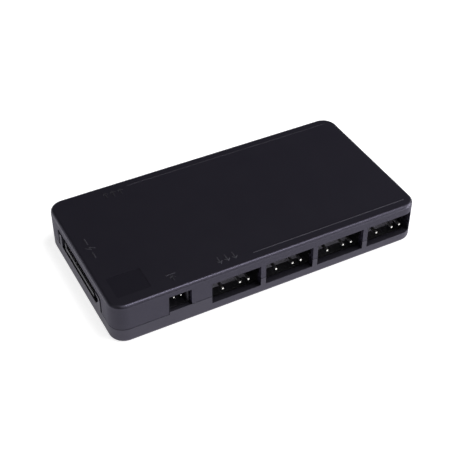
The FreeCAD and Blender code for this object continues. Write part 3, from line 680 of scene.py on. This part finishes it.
@dataclass(frozen=True)
class RoofSigns:
    """Raised signs and fine lines beside the sockets on the case's roof.

    A sign's place is its middle along X and Y. A line's place is its two ends along X and its Y.
    """

    sign_width: float = 0.32 * MM
    line_width: float = 0.24 * MM
    height: float = 0.1 * MM
    back_line_height: float = 0.03 * MM
    power_at: Span = (-42.1 * MM, 0.7 * MM)
    input_at: Span = (-27.5 * MM, -19.4 * MM)
    front_output_at: Span = (-11.9 * MM, -19.2 * MM)
    back_output_at: Span = (-27.7 * MM, 19.3 * MM)
    front_line: tuple[float, float, float] = (-4.8 * MM, 42.95 * MM, -20.7 * MM)
    back_line: tuple[float, float, float] = (-23.0 * MM, 43.0 * MM, 20.9 * MM)

    def join(self, strokes: list[Stroke], level: float) -> tuple[Array, Array]:
        """Gather strokes into one set of points and quads.

        Args:
            strokes: strokes of one sign.
            level: height of the roof.

        Returns:
            Points and quads.
        """
        grids = [stroke.surface(level) for stroke in strokes]
        starts = np.cumsum([0] + [grid.shape[0] * grid.shape[1] for grid in grids])
        quads = [grid_quads(grid.shape[0], grid.shape[1], start) for grid, start in zip(grids, starts)]
        return np.concatenate([grid.reshape(-1, 3) for grid in grids]), np.concatenate(quads)

    def sign(self, kind: Sign, middle: Span, turn: float) -> list[Stroke]:
        """Turn a sign about its middle and put it in place.

        Args:
            kind: which sign.
            middle: its place along X and Y.
            turn: angle in degrees, against the clock as seen from above.

        Returns:
            The sign's strokes.
        """
        angle = math.radians(turn)
        spin = np.array([[math.cos(angle), math.sin(angle)], [-math.sin(angle), math.cos(angle)]])
        return [Stroke(np.array(path) * MM @ spin + np.array(middle), self.sign_width, self.height)
                for path in kind.value]

    def line(self, place: tuple[float, float, float], height: float) -> list[Stroke]:
        """Lay a fine straight line along X.

        Args:
            place: its two ends along X and its place along Y.
            height: how far it stands up.

        Returns:
            The line's one stroke.
        """
        start, end, across = place
        return [Stroke(np.array([[start, across], [end, across]]), self.line_width, height)]

    def build(self, clear: bpy.types.Material, faint: bpy.types.Material) -> None:
        """Make every sign and line on the roof.

        Args:
            clear: material of those that stand out well: a lighter grey, partly the marks' own tone and
                partly painted highlight on their ridges.
            faint: material of those that hardly show: the same grey dimmed, with less painted highlight.
            faint: material of those that hardly show.
        """
        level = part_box("top_cover")[1].z
        pieces = {
            "power_sign": (self.sign(Sign.POWER, self.power_at, -90.0), clear),
            "input_sign": (self.sign(Sign.INPUT, self.input_at, 0.0), faint),
            "front_output_sign": (self.sign(Sign.OUTPUT, self.front_output_at, 0.0), clear),
            "back_output_sign": (self.sign(Sign.OUTPUT, self.back_output_at, 180.0), faint),
            "front_output_line": (self.line(self.front_line, self.height), clear),
            "back_output_line": (self.line(self.back_line, self.back_line_height), faint),
        }
        for name, (strokes, finish) in pieces.items():
            piece(name, *self.join(strokes, level), "case_plastic", finish)


# Floor and sides of the shallow recess in the roof's front left corner.
CORNER_RECESS = DullPatch((-43.02 * MM, -20.02 * MM, 12.4 * MM), (-33.58 * MM, -12.08 * MM, 12.599 * MM),
                          shade=0.75, gloss=0.82)

# Inside of the base along the front row of ports.
BASE_INSIDE = DullPatch((-18.4 * MM, -23.6 * MM, 2.6 * MM), (42.9 * MM, 23.6 * MM, 12.6 * MM),
                        shade=1.0, gloss=0.6)


@dataclass
class Case:
    """Both moulded shells, their screws and the signs on the roof."""

    cover_plastic: MouldedPlastic = MouldedPlastic(
        "cover_black", (0.0046, 0.0044, 0.0046), (0.78, 0.73, 1.0), 0.4, wall_roughness=0.66,
        gloss=0.76, bloom=0.05, edge=0.0, patch=CORNER_RECESS)
    base_plastic: MouldedPlastic = MouldedPlastic(
        "base_black", (0.0075, 0.0072, 0.0078), (0.8, 0.75, 1.0), 0.46, wall_roughness=0.56,
        gloss=0.8, bloom=0.04, patch=BASE_INSIDE)
    # Signs are a lighter grey: partly the marks' own tone, partly painted highlight on their ridges. The
    # faint copy is the same grey dimmed, with less painted highlight.
    signs_with_painted_highlight: MouldedPlastic = MouldedPlastic(
        "grey_sign_with_painted_highlight", (0.036, 0.035, 0.042), (0.82, 0.78, 1.0), 0.42)
    dim_signs_painted_highlight: MouldedPlastic = MouldedPlastic(
        "dim_grey_sign_with_less_painted_highlight", (0.019, 0.0185, 0.0225), (0.82, 0.78, 1.0), 0.42)
    screw: PlatedMetal = PlatedMetal("blackened_screw", (0.16, 0.16, 0.17), 0.34, Axis.Z)
    signs: RoofSigns = RoofSigns()

    def dress(self) -> None:
        """Give the shells and screws their finishes and put the signs on."""
        dress(["top_cover"], self.cover_plastic.material())
        dress(["base_shell"], self.base_plastic.material())
        dress(["case_screws"], self.screw.material())
        self.signs.build(self.signs_with_painted_highlight.material(), self.dim_signs_painted_highlight.material())


@dataclass
class Outputs:
    """Pin headers of both rows."""

    insulator: MouldedPlastic = MouldedPlastic(
        "header_black", (0.115, 0.1105, 0.13), (0.85, 0.82, 1.0), 0.45)
    pin: PlatedMetal = PlatedMetal("tinned_pin", (0.8, 0.79, 0.77), 0.3, Axis.Y)

    def dress(self) -> None:
        """Give every header and every row of pins its finish."""
        names = sorted(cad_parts)
        dress([name for name in names if "_header_" in name], self.insulator.material())
        dress([name for name in names if "_pins_" in name], self.pin.material())


@dataclass
class InputSocket:
    """Two-pin socket in the front."""

    shroud: MouldedPlastic = MouldedPlastic("socket_black", (0.026, 0.025, 0.03), (0.85, 0.82, 1.0), 0.42)
    pin: PlatedMetal = PlatedMetal("socket_pin", (0.85, 0.84, 0.82), 0.28, Axis.Y)

    def dress(self) -> None:
        """Give the socket and its pins their finishes."""
        dress(["input_socket"], self.shroud.material())
        dress(["input_pins"], self.pin.material())


@dataclass
class PowerInlet:
    """Keyed power inlet in the left end."""

    body: MouldedPlastic = MouldedPlastic(
        "inlet_black", (0.028, 0.0265, 0.0335), (0.85, 0.82, 1.0), 0.55, gloss=0.3)
    contact: PlatedMetal = PlatedMetal("tinned_contact", (0.5, 0.49, 0.5), 0.3, Axis.X)

    def dress(self) -> None:
        """Give the inlet and its contacts their finishes."""
        dress(["power_inlet"], self.body.material())
        dress(["power_contacts"], self.contact.material())


@dataclass
class Electronics:
    """Circuit board and the parts on it.

    A part that has no neighbour along its row takes a pitch longer than the board.
    """

    mask: SolderMask = SolderMask(
        "black_mask", (0.008, 0.008, 0.009), (0.014, 0.014, 0.016), (0.012, 0.0118, 0.013))
    tin: Colour = (0.74, 0.74, 0.72)
    epoxy: Colour = (0.022, 0.022, 0.024)
    aluminium: Colour = (0.78, 0.78, 0.8)
    foot: Colour = (0.02, 0.02, 0.022)
    ceramic: Colour = (0.36, 0.25, 0.15)
    coating: Colour = (0.03, 0.09, 0.04)
    film: Colour = (0.02, 0.02, 0.022)
    chip_body_half: float = 1.96 * MM
    can_foot: float = 1.3 * MM
    can_sector: float = 0.68
    bypass_length: float = 2.0 * MM
    bypass_gaps: int = 2
    bypass_body_half: float = 0.62 * MM
    fuse_body_half: float = 1.7 * MM
    resistor_half: float = 0.8 * MM
    resistor_body_half: float = 0.5 * MM
    lone_pitch: float = 1.0

    def row_middle(self, name: str) -> float:
        """Middle of a node along X."""
        low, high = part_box(name)
        return (low.x + high.x) / 2.0

    def can(self) -> CanFinish:
        """Finish of the bulk capacitor, whose foot and sector are measured from its box.

        Returns:
            The finish.
        """
        low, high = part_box("bulk_capacitor")
        foot_top = low.z + self.can_foot
        sector_edge = high.x - (high.x - low.x) * self.can_sector
        return CanFinish("can_aluminium", self.aluminium, self.foot, foot_top, high.z, sector_edge)

    def bypass(self) -> CappedChip:
        """Finish of the bypass capacitors, which stand in one row along X.

        Returns:
            The finish.
        """
        low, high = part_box("bypass_capacitors")
        pitch = (high.x - low.x - self.bypass_length) / self.bypass_gaps
        return CappedChip("tan_ceramic", self.ceramic, self.tin, Axis.X, self.row_middle("bypass_capacitors"),
                          pitch, self.bypass_body_half)

    def fuse(self) -> CappedChip:
        """Finish of the resettable fuse."""
        return CappedChip("green_fuse", self.coating, self.tin, Axis.X, self.row_middle("resettable_fuse"),
                          self.lone_pitch, self.fuse_body_half)

    def resistor(self) -> CappedChip:
        """Finish of the data resistors, which stand across Y in two rows that mirror each other.

        Returns:
            The finish.
        """
        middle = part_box("data_resistors")[1].y - self.resistor_half
        return CappedChip("black_resistor", self.film, self.tin, Axis.Y, middle, self.lone_pitch,
                          self.resistor_body_half, mirrored=True)

    def dress(self) -> None:
        """Give the board and each part on it a finish."""
        dress(["circuit_board"], self.mask.material())
        chip = LeadedChip("chip_epoxy", self.epoxy, self.tin, self.chip_body_half)
        dress(["signal_buffer"], chip.material())
        dress(["bulk_capacitor"], self.can().material())
        dress(["bypass_capacitors"], self.bypass().material())
        dress(["resettable_fuse"], self.fuse().material())
        dress(["data_resistors"], self.resistor().material())


@dataclass(frozen=True)
class Lamp:
    """Soft box that faces a point: square, unless it has a height of its own."""

    name: str
    place: Place
    side: float
    power: float
    height: float | None = None
    aim: Place = (0.0, 0.0, 0.006)

    def build(self) -> None:
        """Hang the lamp and turn it to its point."""
        data = bpy.data.lights.new(self.name, "AREA")
        data.shape = "RECTANGLE"
        data.size = self.side
        data.size_y = self.height or self.side
        data.energy = self.power
        made = bpy.data.objects.new(self.name, data)
        made.location = self.place
        made.rotation_euler = (Vector(self.aim) - Vector(self.place)).to_track_quat("-Z", "Y").to_euler()
        bpy.context.scene.collection.objects.link(made)


@dataclass
class Studio:
    """White floor, soft boxes and a dim room.

    The low right-hand box is a strip: it reaches into the ports and leaves little glare on the roof.
    """

    floor_side: float = 12.0
    floor_level: float = -0.01 * MM
    floor_albedo: float = 0.55
    floor_glow: float = 0.8
    room_low: float = 0.1
    room_high: float = 0.055
    room_fade: Span = (0.0, 0.5)
    lamps: tuple[Lamp, ...] = (
        Lamp("overhead_box", (0.28, -0.2, 1.05), 0.4, 6.5),
        Lamp("front_box", (0.15, -0.9, 0.75), 0.9, 3.0),
        Lamp("right_box", (1.1, -0.3, 0.6), 0.7, 9.0),
        Lamp("low_right_box", (1.0, -0.75, 0.07), 0.7, 6.0, 0.12),
        Lamp("left_box", (-1.0, -0.15, 0.7), 0.6, 0.6),
        Lamp("back_left_box", (-0.9, 0.85, 0.36), 0.6, 0.8),
    )

    def floor(self) -> None:
        """Lay a pale floor that camera, gloss and glass see brought up to white where no shadow lies.

        From below it is clear, so that the part's underside can be looked at.
        """
        half = self.floor_side / 2.0
        corners = np.array([[-1, -1], [1, -1], [1, 1], [-1, 1]]) * half
        points = np.column_stack([corners, np.full(4, self.floor_level)])
        mesh = bpy.data.meshes.new("floor")
        mesh.from_pydata(points.tolist(), [], [[0, 1, 2, 3]])
        mesh.materials.append(self.paper())
        made = bpy.data.objects.new("floor", mesh)
        bpy.context.scene.collection.objects.link(made)

    def paper(self) -> bpy.types.Material:
        """Build the floor's material: a diffuse sheet with a glow, clear from below.

        Returns:
            The material.
        """
        graph = Graph("pale_floor")
        nodes = graph.tree.nodes
        output = nodes["Material Output"]
        nodes.remove(graph.shader)
        sheet = graph.add("ShaderNodeBsdfDiffuse")
        graph.feed(sheet.inputs["Color"], (*(self.floor_albedo,) * 3, 1.0))
        rays = graph.add("ShaderNodeLightPath").outputs
        seen = graph.math("MAXIMUM", rays["Is Camera Ray"], rays["Is Glossy Ray"])
        seen = graph.math("MAXIMUM", seen, rays["Is Transmission Ray"])
        glow = graph.add("ShaderNodeEmission")
        graph.feed(glow.inputs["Strength"], graph.math("MULTIPLY", seen, self.floor_glow))
        both = graph.add("ShaderNodeAddShader")
        graph.feed(both.inputs[0], sheet.outputs["BSDF"])
        graph.feed(both.inputs[1], glow.outputs["Emission"])
        through = graph.add("ShaderNodeMixShader")
        graph.feed(through.inputs["Fac"], graph.add("ShaderNodeNewGeometry").outputs["Backfacing"])
        graph.feed(through.inputs[1], both.outputs["Shader"])
        graph.feed(through.inputs[2], graph.add("ShaderNodeBsdfTransparent").outputs["BSDF"])
        graph.feed(output.inputs["Surface"], through.outputs["Shader"])
        return graph.material

    def room(self) -> None:
        """Light the room dimly, paler at the horizon than overhead."""
        world = bpy.data.worlds.new("dim_room")
        world.use_nodes = True
        bpy.context.scene.world = world
        nodes = world.node_tree.nodes
        links = world.node_tree.links
        split = nodes.new("ShaderNodeSeparateXYZ")
        links.new(nodes.new("ShaderNodeTexCoord").outputs["Generated"], split.inputs["Vector"])
        fade = nodes.new("ShaderNodeMapRange")
        fade.inputs["From Min"].default_value = self.room_fade[0]
        fade.inputs["From Max"].default_value = self.room_fade[1]
        fade.inputs["To Min"].default_value = self.room_low
        fade.inputs["To Max"].default_value = self.room_high
        links.new(split.outputs["Z"], fade.inputs["Value"])
        links.new(fade.outputs["Result"], nodes["Background"].inputs["Strength"])
        nodes["Background"].inputs["Color"].default_value = (1.0, 1.0, 1.0, 1.0)

    def build(self) -> None:
        """Set up floor, room and lamps."""
        self.floor()
        self.room()
        for lamp in self.lamps:
            lamp.build()
        bpy.context.scene.view_settings.view_transform = "Standard"


@dataclass
class PhotoCamera:
    """Camera that stands where the photograph's stood.

    Angles are in degrees, lens and sensor in millimetres. Aside and above are how far the camera
    is moved across its own view, as shares of its distance.
    """

    azimuth: float = -27.35
    elevation: float = 40.582
    roll: float = -0.181
    distance: float = 291.9 * MM
    lens: float = 81.35
    sensor: float = 36.0
    aside: float = -0.00615
    above: float = 0.01099
    nearest: float = 0.01
    farthest: float = 50.0

    def build(self) -> None:
        """Place the camera by its angles and make it the scene's own."""
        turn = math.radians(self.azimuth)
        tilt = math.radians(self.elevation)
        back = Vector((math.sin(turn) * math.cos(tilt), -math.cos(turn) * math.cos(tilt), math.sin(tilt)))
        right = Vector((math.cos(turn), math.sin(turn), 0.0))
        up = back.cross(right)
        spin = Matrix.Rotation(math.radians(self.roll), 3, back)
        axes = Matrix((spin @ right, spin @ up, back)).transposed()
        data = bpy.data.cameras.new("photo_camera")
        data.lens = self.lens
        data.sensor_width = self.sensor
        data.clip_start = self.nearest
        data.clip_end = self.farthest
        made = bpy.data.objects.new("photo_camera", data)
        made.rotation_euler = axes.to_euler()
        made.location = (back + right * self.aside + up * self.above) * self.distance
        bpy.context.scene.collection.objects.link(made)
        bpy.context.scene.camera = made


def main() -> None:
    """Dress the part and set up the studio and the camera."""
    logging.basicConfig(level=logging.INFO, format="%(message)s")
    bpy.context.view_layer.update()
    for assembly in (Case(), Outputs(), InputSocket(), PowerInlet(), Electronics()):
        assembly.dress()
    Studio().build()
    PhotoCamera().build()
    bpy.context.view_layer.update()


if __name__ == "__main__":
    main()
